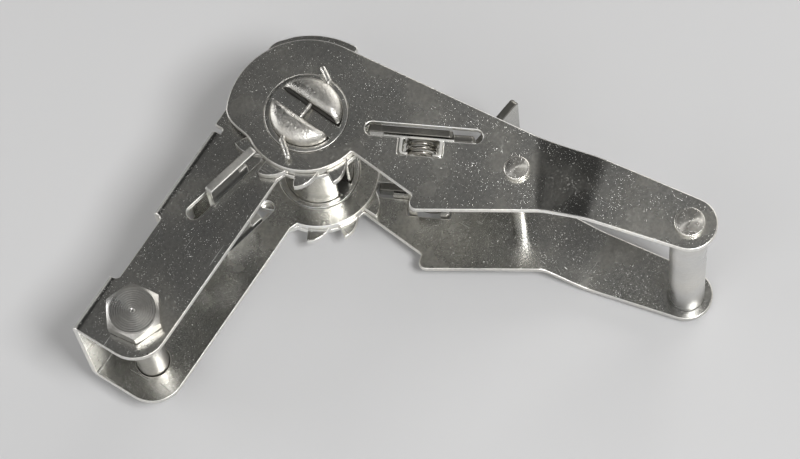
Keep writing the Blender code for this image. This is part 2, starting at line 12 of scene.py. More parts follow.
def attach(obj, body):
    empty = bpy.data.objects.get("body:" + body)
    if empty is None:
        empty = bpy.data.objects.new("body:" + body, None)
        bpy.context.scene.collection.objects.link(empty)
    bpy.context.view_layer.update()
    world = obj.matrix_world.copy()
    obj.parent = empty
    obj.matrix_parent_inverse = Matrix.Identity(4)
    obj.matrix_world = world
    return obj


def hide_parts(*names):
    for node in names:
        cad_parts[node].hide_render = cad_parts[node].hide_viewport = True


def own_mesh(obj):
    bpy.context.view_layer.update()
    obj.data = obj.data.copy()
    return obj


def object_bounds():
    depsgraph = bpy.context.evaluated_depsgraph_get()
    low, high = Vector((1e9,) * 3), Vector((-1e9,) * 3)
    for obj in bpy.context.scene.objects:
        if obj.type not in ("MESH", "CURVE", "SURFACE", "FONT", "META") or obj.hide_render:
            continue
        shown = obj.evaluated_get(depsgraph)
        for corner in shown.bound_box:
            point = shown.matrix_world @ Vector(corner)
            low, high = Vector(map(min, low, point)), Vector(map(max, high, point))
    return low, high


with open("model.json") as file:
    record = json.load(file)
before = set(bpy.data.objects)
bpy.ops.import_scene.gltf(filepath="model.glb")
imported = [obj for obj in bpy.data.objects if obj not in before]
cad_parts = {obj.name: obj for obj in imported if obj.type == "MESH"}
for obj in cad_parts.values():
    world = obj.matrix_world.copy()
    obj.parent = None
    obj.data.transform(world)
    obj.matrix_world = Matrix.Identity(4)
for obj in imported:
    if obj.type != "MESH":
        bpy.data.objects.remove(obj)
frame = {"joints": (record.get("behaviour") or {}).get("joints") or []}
CAD_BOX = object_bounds()

MM = 0.001
JOINTS = {joint["name"]: joint for joint in frame["joints"]}
AXIS = Vector(JOINTS["handle_swing"]["pos_m"])

# Levels across the width, in millimetres from the middle
BASE_IN, BASE_OUT = 15.7, 17.2
WHEEL_IN, WHEEL_OUT = 17.4, 19.4
PLATE_IN, PLATE_OUT = 19.6, 21.1
JOGGLE = 4.2
HANDLE_ANGLE, DRIVE_ANGLE, LOCK_ANGLE, SPINDLE_ANGLE = -76.4, -63.45, 167.1, -4.5


# Outlines in the plane, in millimetres

def polar(radius, angle, centre=(0.0, 0.0)):
    turn = math.radians(angle)
    return (centre[0] + radius * math.cos(turn), centre[1] + radius * math.sin(turn))


def arc(radius, start, end, steps, centre=(0.0, 0.0)):
    return [polar(radius, start + (end - start) * i / steps, centre) for i in range(steps + 1)]


def fillet(before, corner, after, radius, steps):
    p, a, b = Vector(corner), Vector(before), Vector(after)
    to_a, to_b = (a - p).normalized(), (b - p).normalized()
    half = to_a.angle(to_b) / 2
    reach = radius / math.tan(half)
    centre = p + (to_a + to_b).normalized() * (radius / math.sin(half))
    start, end = p + to_a * reach - centre, p + to_b * reach - centre
    first = math.atan2(start.y, start.x)
    turn = math.atan2(start.x * end.y - start.y * end.x, start.dot(end))
    return [(centre.x + radius * math.cos(first + turn * i / steps),
             centre.y + radius * math.sin(first + turn * i / steps)) for i in range(steps + 1)]


def rounded(corners, steps=6):
    """Outline where an (x, y, radius) entry is a rounded corner."""
    outline = []
    for i, corner in enumerate(corners):
        if len(corner) == 2:
            outline.append(tuple(corner))
            continue
        before, after = corners[i - 1], corners[(i + 1) % len(corners)]
        outline += fillet(before[:2], corner[:2], after[:2], corner[2], steps)
    return outline


def slot_outline(start, end, middle, width, steps=12):
    radius = width / 2
    return (arc(radius, -90, 90, steps, (end - radius, middle))
            + arc(radius, 90, 270, steps, (start + radius, middle)))


def moon_outline(radius, flat, corner=0.0, steps=32):
    half = math.degrees(math.acos(flat / radius))
    points = arc(radius, -half, half, steps)
    if corner:
        low, high = points[0], points[-1]
        inner = points[3:-3]
        points = fillet(high, low, inner[0], corner, 4) + inner + fillet(inner[-1], high, low, corner, 4)
    return points


def turned(points, angle, shift=(0.0, 0.0)):
    c, s = math.cos(math.radians(angle)), math.sin(math.radians(angle))
    return [(shift[0] + x * c - y * s, shift[1] + x * s + y * c) for x, y in points]


def area(loop):
    return sum(a[0] * b[1] - b[0] * a[1] for a, b in zip(loop, loop[1:] + loop[:1])) / 2


def clean(loop):
    kept = []
    for point in loop:
        if not kept or (Vector(point) - Vector(kept[-1])).length > 0.01:
            kept.append(tuple(point))
    if (Vector(kept[0]) - Vector(kept[-1])).length < 0.01:
        kept.pop()
    return kept


def inward(loop):
    """Mitred inward direction at every point of a loop that keeps its material on the left."""
    result = []
    for i, point in enumerate(loop):
        p, a, b = Vector(point), Vector(loop[i - 1]), Vector(loop[(i + 1) % len(loop)])
        first, second = (p - a).normalized(), (b - p).normalized()
        n1, n2 = Vector((-first.y, first.x)), Vector((-second.y, second.x))
        middle = n1 + n2
        if middle.length < 0.2:
            middle = n1
        middle.normalize()
        result.append(middle / max(middle.dot(n1), 0.5))
    return result


# Meshes in millimetres

def round_profile(edge, low, high, steps=3):
    """(inset, level) pairs of a rounded edge from the low face to the high face."""
    pairs = []
    for i in range(steps + 1):
        turn = math.pi / 2 * i / steps
        pairs.append((edge * (1 - math.sin(turn)), low + edge * (1 - math.cos(turn))))
    return pairs + [(inset, high + low - level) for inset, level in reversed(pairs)]


def sheet(outer, holes, low, high, edge=0.25, steps=3, bm=None, hole_edges=()):
    """Closed sheet with rounded edges, holes included. Walls get material slot 1."""
    bm = bm or bmesh.new()
    loops = []
    for i, loop in enumerate([outer] + list(holes)):
        loop = clean(loop)
        if (area(loop) > 0) != (i == 0):
            loop.reverse()
        loops.append(loop)
    edges = [edge] + list(hole_edges) + [edge] * (len(holes) - len(hole_edges))
    ends = [[], []]
    for loop, radius in zip(loops, edges):
        lean = inward(loop)
        profile = round_profile(radius, low, high, steps)
        rings = []
        for inset, level in profile:
            ring = []
            for point, direction in zip(loop, lean):
                ring.append(bm.verts.new((point[0] + direction.x * inset, point[1] + direction.y * inset, level)))
            rings.append(ring)
        for lower, upper in zip(rings, rings[1:]):
            for i in range(len(loop)):
                j = (i + 1) % len(loop)
                face = bm.faces.new((lower[i], lower[j], upper[j], upper[i]))
                face.material_index = 1
        ends[0].append(rings[0])
        ends[1].append(rings[-1])
    for side, rings in enumerate(ends):
        fill(bm, rings, side == 1)
    return bm


def inside(point, loops):
    """Even-odd test over all loops together."""
    x, y = point
    odd = False
    for loop in loops:
        for (ax, ay), (bx, by) in zip(loop, loop[1:] + loop[:1]):
            if (ay > y) != (by > y) and x < (bx - ax) * (y - ay) / (by - ay) + ax:
                odd = not odd
    return odd


def fill(bm, rings, upward):
    """Flat face between the loops, as triangles."""
    flat = [vert for ring in rings for vert in ring]
    loops = [[(v.co.x, v.co.y) for v in ring] for ring in rings]
    edges, first = [], 0
    for ring in rings:
        edges += [(first + i, first + (i + 1) % len(ring)) for i in range(len(ring))]
        first += len(ring)
    points = [Vector(point) for loop in loops for point in loop]
    made, _, faces, origins, _, _ = delaunay_2d_cdt(points, edges, [], 1, 1e-7)
    lost = {}
    for k, origin in enumerate(origins):
        if not origin:
            lost[k] = bm.verts.new((*made[k], rings[0][0].co.z))
    for face in faces:
        centre = sum((made[k] for k in face), Vector((0, 0))) / len(face)
        if not inside(centre, loops):
            continue
        corners = [flat[origins[k][0]] if origins[k] else lost[k] for k in face]
        normal = (corners[1].co - corners[0].co).cross(corners[2].co - corners[0].co)
        if (normal.z > 0) != upward:
            corners.reverse()
        bm.faces.new(corners)


def cut_at(bm, point, normal):
    geometry = list(bm.verts) + list(bm.edges) + list(bm.faces)
    bmesh.ops.bisect_plane(bm, geom=geometry, plane_co=point, plane_no=normal, dist=1e-5)


def revolve(profile, segments=64):
    """Closed solid of (radius, z) points from a low pole or bore to a high one."""
    bm = bmesh.new()
    rings = []
    for radius, z in profile:
        if radius < 1e-6:
            rings.append([bm.verts.new((0, 0, z))])
            continue
        rings.append([bm.verts.new((*polar(radius, 360 * i / segments), z)) for i in range(segments)])
    pairs = list(zip(rings, rings[1:]))
    if len(rings[0]) > 1 and len(rings[-1]) > 1:
        pairs.append((rings[-1], rings[0]))
    for lower, upper in pairs:
        for i in range(segments):
            j = (i + 1) % segments
            corners = [lower[i % len(lower)], lower[j % len(lower)], upper[j % len(upper)], upper[i % len(upper)]]
            unique = list(dict.fromkeys(corners))
            if len(unique) > 2:
                bm.faces.new(unique)
    return bm


def ring_solid(rings, bm=None):
    """Solid from rings of (x, y, z) points of one length, with poles where a ring is one point."""
    bm = bm or bmesh.new()
    made = [[bm.verts.new(point) for point in ring] for ring in rings]
    count = max(len(ring) for ring in made)
    for lower, upper in zip(made, made[1:]):
        for i in range(count):
            j = (i + 1) % count
            corners = [lower[i % len(lower)], lower[j % len(lower)], upper[j % len(upper)], upper[i % len(upper)]]
            unique = list(dict.fromkeys(corners))
            if len(unique) > 2:
                bm.faces.new(unique)
    return bm


def sweep(path, radius, sides=12, section=None, bm=None):
    """Bar along a path with rounded ends; section(turn) scales its radius."""
    bm = bm or bmesh.new()
    points = [Vector(p) for p in path]
    rings, side = [], None
    last = len(points) - 1
    for i, point in enumerate(points):
        ahead = (points[min(i + 1, last)] - points[max(i - 1, 0)]).normalized()
        if side is None:
            side = ahead.cross(Vector((0, 0, 1)))
            side = side.normalized() if side.length > 0.1 else ahead.orthogonal().normalized()
        side = (side - ahead * side.dot(ahead)).normalized()
        other = ahead.cross(side)

        def ring(centre, scale):
            made = []
            for k in range(sides):
                turn = 2 * math.pi * k / sides
                reach = radius * scale * (section(turn) if section else 1.0)
                made.append(bm.verts.new(centre + (side * math.cos(turn) + other * math.sin(turn)) * reach))
            return made
        if i == 0:
            rings.append(ring(point - ahead * radius * 0.0, 0.55))
            point = point + ahead * radius * 0.35
        if i == last:
            rings.append(ring(point - ahead * radius * 0.35, 1.0))
            rings.append(ring(point, 0.55))
        else:
            rings.append(ring(point, 1.0))
    for lower, upper in zip(rings, rings[1:]):
        for k in range(sides):
            bm.faces.new([lower[k], lower[(k + 1) % sides], upper[(k + 1) % sides], upper[k]])
    bm.faces.new(rings[0][::-1])
    bm.faces.new(rings[-1])
    return bm


def coil(coil_radius, length, turns, steps=28):
    """Helix along +X with a flat turn at each end."""
    path = []
    count = int(turns * steps)
    for i in range(count + 1):
        share = min(max((i / steps - 0.5) / (turns - 1), 0.0), 1.0)
        y, z = polar(coil_radius, 360 * i / steps)
        path.append((length * share, y, z))
    return path


def turned_face(radius, level, grooves=9, depth=0.02, dome=0.0, pip=0.25):
    """(radius, z) points from the rim to the centre of a turned face, with fine rings and a centre pip."""
    points = []
    for i in range(grooves * 2):
        r = radius * (1 - i / (grooves * 2)) ** 1.0
        rise = dome * (1 - (r / radius) ** 2)
        points.append((r, level + rise - (depth if i % 2 else 0.0)))
    points = [p for p in points if p[0] > pip]
    points += [(pip, level + dome - depth), (pip * 0.6, level + dome - depth - 0.1), (0, level + dome - depth - 0.15)]
    return points


# Materials

def rgb(value):
    return (*value, 1.0)


class Nodes:
    """Small helper that adds and links shader nodes."""

    def __init__(self, material):
        self.tree = material.node_tree
        self.coords = self.tree.nodes.new("ShaderNodeTexCoord").outputs["Object"]

    def node(self, kind, **values):
        made = self.tree.nodes.new("ShaderNode" + kind)
        for key, value in values.items():
            if hasattr(made, key) and key not in made.inputs:
                setattr(made, key, value)
                continue
            socket = made.inputs[key.replace("_", " ")] if isinstance(key, str) else made.inputs[key]
            if isinstance(value, bpy.types.NodeSocket):
                self.tree.links.new(value, socket)
            else:
                socket.default_value = value
        return made

    def link(self, output, socket):
        self.tree.links.new(output, socket)

    def mapped(self, scale, rotation=(0, 0, 0)):
        mapping = self.node("Mapping")
        mapping.inputs["Scale"].default_value = scale
        mapping.inputs["Rotation"].default_value = rotation
        self.link(self.coords, mapping.inputs["Vector"])
        return mapping.outputs["Vector"]

    def noise(self, vector, scale, detail=3.0, roughness=0.55, distortion=0.0):
        made = self.node("TexNoise")
        self.link(vector, made.inputs["Vector"])
        made.inputs["Scale"].default_value = scale
        made.inputs["Detail"].default_value = detail
        made.inputs["Roughness"].default_value = roughness
        made.inputs["Distortion"].default_value = distortion
        return made.outputs["Fac"]

    def spread(self, value, low, high, to_low, to_high):
        made = self.node("MapRange")
        self.link(value, made.inputs["Value"])
        for name, number in (("From Min", low), ("From Max", high), ("To Min", to_low), ("To Max", to_high)):
            made.inputs[name].default_value = number
        return made.outputs["Result"]

    def math(self, operation, a, b):
        made = self.node("Math")
        made.operation = operation
        for socket, value in zip(made.inputs, (a, b)):
            if isinstance(value, bpy.types.NodeSocket):
                self.link(value, socket)
            else:
                socket.default_value = value
        return made.outputs[0]

    def mix(self, share, a, b):
        made = self.node("Mix")
        made.data_type = "RGBA"
        self.link(share, made.inputs[0])
        for socket, value in zip([made.inputs[6], made.inputs[7]], (a, b)):
            if isinstance(value, bpy.types.NodeSocket):
                self.link(value, socket)
            else:
                socket.default_value = rgb(value)
        return made.outputs[2]


def steel(name, colour, roughness, speckle=0.5, scratch=0.4, streak=None, warm=0.06, turned_finish=0.0, mottle=0.08, relief=0.35):
    """Stainless steel with uneven polish, a slow painted brightness variation standing in for uneven reflection, fine
    specks lightened into painted glints, hair scratches and, on cut edges, shear streaks.
    """
    material = bpy.data.materials.new(name)
    material.use_nodes = True
    n = Nodes(material)
    shader = material.node_tree.nodes["Principled BSDF"]
    shader.inputs["Metallic"].default_value = 1.0
    plain = n.mapped((1, 1, 1))
    cloud = n.noise(plain, 90, 4)
    fine = n.noise(plain, 1500, 3, 0.7)
    grain = n.noise(plain, 4200, 2, 0.6)
    hair_a = n.noise(n.mapped((1, 0.03, 1), (0, 0, 0.6)), 2600, 2, 0.5, 0.4)
    hair_b = n.noise(n.mapped((0.03, 1, 1), (0, 0, 0.25)), 2600, 2, 0.5, 0.4)
    scratches = n.math("MAXIMUM", n.spread(hair_a, 0.72, 0.79, 0, 1), n.spread(hair_b, 0.73, 0.80, 0, 1))
    dots = n.math("ADD", n.noise(plain, 3000, 2, 0.6), n.spread(n.noise(plain, 260, 2), 0.3, 0.7, -0.035, 0.035))
    specks = n.spread(dots, 0.665, 0.72, 0, 1)
    # Slow painted brightness variation over the surface, standing in for uneven reflection
    painted_reflection_variation = n.spread(n.noise(plain, 22, 2), 0.35, 0.65, 0.72, 1.22)
    tint = n.mix(n.spread(cloud, 0.35, 0.7, 0, 1), colour, [c * k for c, k in zip(colour, (1, 1 - warm * 0.35, 1 - warm))])
    shade = n.node("VectorMath")
    shade.operation = "SCALE"
    n.link(tint, shade.inputs[0])
    mottled = n.spread(n.noise(plain, 1100, 3, 0.7), 0.35, 0.65, 1 - mottle, 1 + mottle)
    n.link(n.math("MULTIPLY", painted_reflection_variation, mottled), shade.inputs["Scale"])
    # Scratches lighten the colour as wear; specks lighten it as painted glints
    scratch_wear_and_painted_glints = n.mix(n.math("MULTIPLY", n.math("MAXIMUM", scratches, specks), 0.3), shade.outputs[0],
                 [min(c * 1.6, 0.95) for c in colour])
    n.link(scratch_wear_and_painted_glints, shader.inputs["Base Color"])
    rough = n.math("ADD", n.spread(cloud, 0.3, 0.7, roughness * 0.8, roughness * 1.25), n.math("MULTIPLY", specks, 0.1))
    n.link(n.math("ADD", rough, n.math("MULTIPLY", scratches, 0.12)), shader.inputs["Roughness"])
    height = n.math("ADD", n.math("MULTIPLY", fine, speckle), n.math("MULTIPLY", scratches, -scratch))
    height = n.math("ADD", height, n.math("MULTIPLY", grain, 0.25 * speckle))
    height = n.math("ADD", height, n.math("MULTIPLY", specks, 0.8))
    if streak:
        bands = n.noise(n.mapped(streak), 1000, 3, 0.6)
        height = n.math("ADD", height, n.math("MULTIPLY", bands, 1.6))
    if turned_finish:
        shader.inputs["Anisotropic"].default_value = turned_finish
        tangent = n.node("Tangent")
        tangent.direction_type = "RADIAL"
        tangent.axis = "Z"
        n.link(tangent.outputs["Tangent"], shader.inputs["Tangent"])
    bump = n.node("Bump")
    bump.inputs["Strength"].default_value = relief
    bump.inputs["Distance"].default_value = 0.00012
    n.link(height, bump.inputs["Height"])
    n.link(bump.outputs["Normal"], shader.inputs["Normal"])
    return material


PLATE = steel("rolled_plate", (0.54, 0.54, 0.52), 0.25, mottle=0.13)
DARK = steel("dark_plate", (0.13, 0.13, 0.125), 0.62)
EDGE = steel("plate_cut_edge", (0.88, 0.87, 0.84), 0.33, 0.3, 0.1, streak=(1, 1, 0.06))
PAWL_EDGE = steel("pawl_cut_edge", (0.22, 0.215, 0.20), 0.34, 0.3, 0.1)
EAR_EDGE = steel("lock_pawl_cut_edge", (0.66, 0.655, 0.63), 0.42, 0.3, 0.1, streak=(1, 0.05, 1))
BRIGHT = steel("bright_steel", (0.58, 0.58, 0.56), 0.25, 0.4, 0.3)
BRIGHT_EDGE = steel("bright_cut_edge", (0.88, 0.87, 0.84), 0.28, 0.3, 0.1, streak=(1, 1, 0.06))
STRIP = steel("guide_strip", (0.74, 0.74, 0.72), 0.52, 0.3, 0.1, mottle=0.04)
SHAFT = steel("spindle_steel", (0.72, 0.71, 0.68), 0.27, 3.0, 0.35, mottle=0.12, relief=0.5)
# Darker copy of the spindle steel for the barrel between the plates: painted shade
BARREL_PAINTED_SHADE = steel("spindle_barrel_painted_shade", (0.50, 0.495, 0.47), 0.24, 0.3, 0.2, streak=(1, 1, 0.05))
# Darker copy of the spindle steel for the flat slot walls: painted shade
PAINTED_SHADE_WALL = steel("spindle_slot_wall_painted_shade", (0.16, 0.155, 0.145), 0.42, 0.6, 0.2)
TURNED = steel("turned_steel", (0.52, 0.515, 0.50), 0.30, 0.5, 0.2)
RIVET = steel("rivet_steel", (0.74, 0.73, 0.70), 0.24, 0.25, 0.2, turned_finish=0.8)
WIRE = steel("spring_wire", (0.28, 0.27, 0.25), 0.22, 0.2, 0.2, mottle=0.04)
TUBE = steel("tube_steel", (0.64, 0.64, 0.63), 0.30, 0.3, 0.3, mottle=0.04)


# Placing pieces

def place(name, bm, node, body, materials, angle=0.0, sharp=38.0, baked=True):
    """Finishes a mesh made in millimetres, puts it on its body and hides the CAD node it stands for."""
    if baked:
        bmesh.ops.rotate(bm, cent=(0, 0, 0), matrix=Matrix.Rotation(math.radians(angle), 3, "Z"), verts=bm.verts)
        angle = 0.0
    bmesh.ops.remove_doubles(bm, verts=bm.verts, dist=1e-4)
    bmesh.ops.recalc_face_normals(bm, faces=bm.faces)
    bmesh.ops.transform(bm, matrix=Matrix.Scale(MM, 4), verts=bm.verts)
    mesh = bpy.data.meshes.new(name)
    bm.to_mesh(mesh)
    bm.free()
    for material in materials:
        mesh.materials.append(material)
    mesh.shade_smooth()
    mesh.set_sharp_from_angle(angle=math.radians(sharp))
    piece = bpy.data.objects.new(name, mesh)
    bpy.context.scene.collection.objects.link(piece)
    piece.location = AXIS
    piece.rotation_euler = (0, 0, math.radians(angle))
    weighted = piece.modifiers.new("face_weighted", "WEIGHTED_NORMAL")
    weighted.keep_sharp = True
    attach(piece, body)
    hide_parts(node)
    return piece


# Base frame

END_X, BACK_Y, FRONT_Y = -73.0, 18.4, -2.4
WEB_X = -14.0
BEND = 2.0
NEUTRAL = BEND - 0.75
WEB_FLAT = BASE_OUT - BEND
BEND_LENGTH = math.pi / 2 * NEUTRAL
ANCHOR = (-62.9, 7.1)


def side_outline():
    """Side plate from the web's front notch round the lobe and head to the rounded end."""
    start = BACK_Y - BEND - 0.5
    lobe = arc(22.1, 2.5, 42.0, 16)
    head = arc(15.0, -3.5, -168.0, 44)
    corners = [(WEB_X, start), (WEB_X + 1.3, start, 0.5), (WEB_X + 1.3, BACK_Y - 0.02, 0.5), (12.4, BACK_Y - 0.02, 5.0)]
    corners += lobe[::-1]
    corners += [(*polar(22.1, -0.5), 0.8), (*polar(16.5, -0.5), 0.6)] + head
    corners += [(-16.6, FRONT_Y), (END_X, FRONT_Y, 8.0), (END_X, start)]
    return rounded(corners, 8)


def to_flat(point):
    return (point[0], WEB_FLAT + BEND_LENGTH + (BACK_Y - BEND - point[1]))


def folded(x, s, depth):
    """Place of a flat-pattern point after folding; depth is measured from the outer face."""
    side = 1 if s > 0 else -1
    reach = abs(s)
    if x > WEB_X + 0.6 or reach > WEB_FLAT + BEND_LENGTH:
        return (x, BACK_Y - BEND - (reach - WEB_FLAT - BEND_LENGTH), side * (BASE_OUT - depth))
    if reach < WEB_FLAT:
        return (x, BACK_Y - depth, s)
    turn = (reach - WEB_FLAT) / NEUTRAL
    return (x, BACK_Y - BEND + (BEND - depth) * math.cos(turn), side * (WEB_FLAT + (BEND - depth) * math.sin(turn)))


def make_base():
    near = [to_flat(p) for p in side_outline()]
    outline = near + [(x, -s) for x, s in reversed(near)]
    outline = clean(outline)
    holes = []
    for sign in (1, -1):
        for loop in (arc(10.15, 0, 355, 71), arc(4.15, 0, 350, 35, ANCHOR),
                     turned(slot_outline(14.2, 37.0, -2.1, 3.4), LOCK_ANGLE)):
            holes.append([(x, sign * s) for x, s in (to_flat(p) for p in loop)])
    reach = WEB_FLAT + BEND_LENGTH + 2.6 - BEND
    holes.append(rounded([(-57.5, -reach, 1.2), (-39.0, -reach, 1.2), (-39.0, reach, 1.2), (-57.5, reach, 1.2)]))
    bm = sheet(outline, holes, 0, 1.5, 0.28)
    for sign in (1, -1):
        for i in range(9):
            cut_at(bm, (0, sign * (WEB_FLAT + BEND_LENGTH * i / 8), 0), (0, 1, 0))
    bmesh.ops.triangulate(bm, faces=[f for f in bm.faces if len(f.verts) > 4])
    for vert in bm.verts:
        vert.co = Vector(folded(vert.co.x, vert.co.y, 1.5 - vert.co.z))
    place("base_frame_look", bm, "base_frame", "base", [PLATE, EDGE])


# Anchor bolt, nut and washer

FLATS, HEX_TURN = 12.4, 37.5


def hex_radius(angle):
    return FLATS / 2 / math.cos(math.radians((angle - HEX_TURN) % 60 - 30))


def hex_ring(level, chamfer, direction, segments=72, limit=None):
    """One ring of the hexagon's side, lowered where the turned chamfer cuts its corners."""
    ring = []
    for i in range(segments):
        angle = HEX_TURN + 360 * i / segments
        radius = hex_radius(angle)
        drop = max(radius - chamfer, 0) * math.tan(math.radians(30))
        ring.append((*polar(radius, angle), level - direction * drop))
    return ring


def circle_ring(radius, level, segments=72):
    if radius < 1e-6:
        return [(0, 0, level)]
    return [(*polar(radius, HEX_TURN + 360 * i / segments), level) for i in range(segments)]


def thread_rings(low, high, radius, depth=0.35, pitch=1.25, segments=72, step=0.16):
    rings = []
    count = int((high - low) / step)
    for k in range(count + 1):
        level = low + (high - low) * k / count
        ring = []
        for i in range(segments):
            angle = HEX_TURN + 360 * i / segments
            wave = abs(((level / pitch - i / segments) % 1.0) * 2 - 1)
            fade = min((level - low) / 0.8, (high - level) / 0.8, 1.0)
            ring.append((*polar(radius - depth * wave * fade - 0.12 * (1 - fade), angle), level))
        rings.append(ring)
    return rings


def make_anchor():
    seat = BASE_OUT + 0.1
    top = seat + 4.4
    rings = [[(0, 0, -26.0)], circle_ring(3.1, -26.0), circle_ring(3.4, -25.8)]
    rings += thread_rings(-25.6, -17.8, 3.95)
    rings += [circle_ring(3.95, -17.4), circle_ring(3.95, seat), circle_ring(5.6, seat), hex_ring(seat, 6.0, -1)]
    rings += [hex_ring(top - 0.42, 5.95, 1), circle_ring(5.86, top - 0.36), circle_ring(5.72, top - 0.08),
              circle_ring(5.62, top - 0.01)]
    for radius, level in turned_face(5.5, top, 10, 0.055, 0.0, 0.45):
        rings.append(circle_ring(radius, level))
    bm = ring_solid(rings)
    move(bm, ANCHOR)
    place("anchor_bolt_look", bm, "anchor_bolt", "base", [TURNED], sharp=22)
    high = -17.2 - 0.1 - 1.8 - 0.1
    low = high - 6.0
    bore = thread_rings(low + 0.3, high - 0.3, 4.35, 0.25)
    rings = [circle_ring(4.35, low), circle_ring(5.7, low), hex_ring(low + 0.02, 5.8, -1), hex_ring(high - 0.02, 5.8, 1),
             circle_ring(5.7, high), circle_ring(4.35, high)] + bore[::-1]
    bm = ring_solid(rings + [rings[0]])
    move(bm, ANCHOR)
    place("anchor_nut_look", bm, "anchor_nut", "base", [TURNED], sharp=22)
    section = rounded([(4.25, high + 0.1, 0.2), (6.55, high + 0.1, 0.2), (6.55, high + 1.9, 0.2), (4.25, high + 1.9, 0.2)], 3)
    rings = []
    for i in range(61):
        angle = 7 + 346 * i / 60
        rings.append([(*polar(r, angle), z) for r, z in section])
    bm = bmesh.new()
    made = [[bm.verts.new(p) for p in ring] for ring in rings]
    for lower, upper in zip(made, made[1:]):
        for i in range(len(section)):
            j = (i + 1) % len(section)
            bm.faces.new((lower[i], lower[j], upper[j], upper[i]))
    bm.faces.new(made[0])
    bm.faces.new(made[-1][::-1])
    move(bm, ANCHOR)
    place("anchor_spring_washer_look", bm, "anchor_spring_washer", "base", [WIRE])


def move(bm, offset):
    bmesh.ops.translate(bm, vec=(offset[0], offset[1], offset[2] if len(offset) > 2 else 0), verts=bm.verts)


# Handle

GRIP_X = 95.4
ROD_AT = (52.3, 1.9)
JOGGLE_START = ((54.0, 9.2), (59.6, -7.5))
JOGGLE_END = ((74.2, 10.1), (73.4, -5.6))
NOTCH = (22.7, 33.55, -8.45)


def handle_outline():
    outline = arc(19.3, 81.6, 193.0, 48)
    for i in range(1, 16):
        share = i / 16
        ease = share * share * (3 - 2 * share)
        outline.append(polar(19.3 - 4.5 * ease, 193.0 + 32.0 * share))
    outline += arc(14.8, 225.0, 336.0, 40)
    outline += [(13.95, -5.95, 0.5), (30.75, -11.72, 0.6), (30.75, -15.85, 1.8), (60.8, -6.3, 8.0)]
    outline += arc(6.6, -90, 83, 28, (GRIP_X, 0.0))
    outline += [(60.0, 10.6)]
    return rounded(outline, 6)


def joggle_share(x, y):
    def line_x(line):
        (x0, y0), (x1, y1) = line
        return x0 + (x1 - x0) * (y - y0) / (y1 - y0)
    start, end = line_x(JOGGLE_START), line_x(JOGGLE_END)
    share = min(max((x - start) / (end - start), 0.0), 1.0)
    bend, late = 0.16, 0.30
    slope = 1 / (1 - (bend + late) / 2)
    if share < bend:
        return slope * share * share / (2 * bend)
    if share > 1 - late:
        return 1 - slope * (1 - share) ** 2 / (2 * late)
    return slope * (share - bend / 2)


def notched_slot():
    """Drive slot and the guide's notch as one opening, along and across the slot."""
    start, end, bottom = NOTCH
    low, high, r = -2.45 - 1.75, -2.45 + 1.75, 1.75
    outline = arc(r, -90, 90, 12, (42.6 - r, -2.45)) + arc(r, 90, 270, 12, (14.4 + r, -2.45))
    outline += rounded([(start, low, 0.35), (start, bottom, 0.45), (end, bottom, 0.45), (end, low, 0.35), (42.6 - r, low),
                        (14.4 + r, low)], 4)[:-2]
    return outline


def make_handle_plate(name, side):
    offset = DRIVE_ANGLE - HANDLE_ANGLE
    holes = [arc(10.15, 0, 355, 71), arc(1.8, 0, 345, 23, ROD_AT), arc(2.6, 0, 350, 35, (GRIP_X, 0)),
             turned(notched_slot(), offset)]
    bm = sheet(handle_outline(), holes, PLATE_IN, PLATE_OUT, 0.34, 4, hole_edges=(0.1, 0.1, 0.1, 0.26))
    for i in range(26):
        top, bottom = (Vector(a).lerp(Vector(b), i / 25) for a, b in zip(JOGGLE_START, JOGGLE_END))
        along = bottom - top
        cut_at(bm, (top.x, top.y, 0), (along.y, -along.x, 0))
    bmesh.ops.triangulate(bm, faces=[f for f in bm.faces if len(f.verts) > 4])
    for vert in bm.verts:
        vert.co.z += JOGGLE * joggle_share(vert.co.x, vert.co.y)
        vert.co.z *= side
    place(name + "_look", bm, name, "handle", [PLATE, EDGE], HANDLE_ANGLE)


def make_grip():
    half = PLATE_IN + JOGGLE - 0.2
    tube = [(2.75, -half + 0.3), (3.0, -half), (4.25, -half), (4.43, -half + 0.07), (4.5, -half + 0.25),
            (4.5, -half + 1.2), (4.46, -half + 1.3), (4.46, half - 1.3), (4.5, half - 1.2),
            (4.5, half - 0.25), (4.43, half - 0.07), (4.25, half), (3.0, half), (2.75, half - 0.3)]
    bm = revolve(tube, 96)
    move(bm, (GRIP_X, 0))
    place("grip_tube_look", bm, "grip_tube", "handle", [TUBE], HANDLE_ANGLE)
    outer = PLATE_OUT + JOGGLE + 0.1
    place("grip_rivet_look", rivet(2.5, 3.65, outer, 1.2, (GRIP_X, 0)), "grip_rivet", "handle", [RIVET],
          HANDLE_ANGLE, sharp=28)
    seat = PLATE_OUT + 0.1
    bm = rivet(1.7, 3.1, seat, 1.4, ROD_AT, barrel=(2.2, PLATE_IN - 0.1))
    place("cross_rod_look", bm, "cross_rod", "handle", [RIVET], HANDLE_ANGLE, sharp=28)


def rivet(shank, head, seat, rise, centre, barrel=None):
    """Pin with a low turned head at each end and, where asked, a thicker barrel between the plates."""
    upper = [(shank, seat - 0.02), (shank + 0.1, seat), (head - 0.25, seat), (head - 0.07, seat + 0.07), (head, seat + 0.25),
             (head, seat + rise * 0.55)]
    for i in range(1, 5):
        turn = math.pi / 2 * i / 4
        upper.append((head - 0.35 + 0.35 * math.cos(turn), seat + rise * 0.55 + rise * 0.3 * math.sin(turn)))
    upper += turned_face(head - 0.45, seat + rise * 0.84, 9, 0.012, rise * 0.14, 0.25)
    lower = [(radius, -z) for radius, z in reversed(upper)]
    middle = []
    if barrel:
        radius, half = barrel
        middle = [(shank, -half), (radius - 0.15, -half), (radius, -half + 0.15), (radius, half - 0.15),
                  (radius - 0.15, half), (shank, half)]
    bm = revolve(lower + middle + upper, 64)
    move(bm, centre)
    return bm


# Ratchet wheels, spindle and split pins

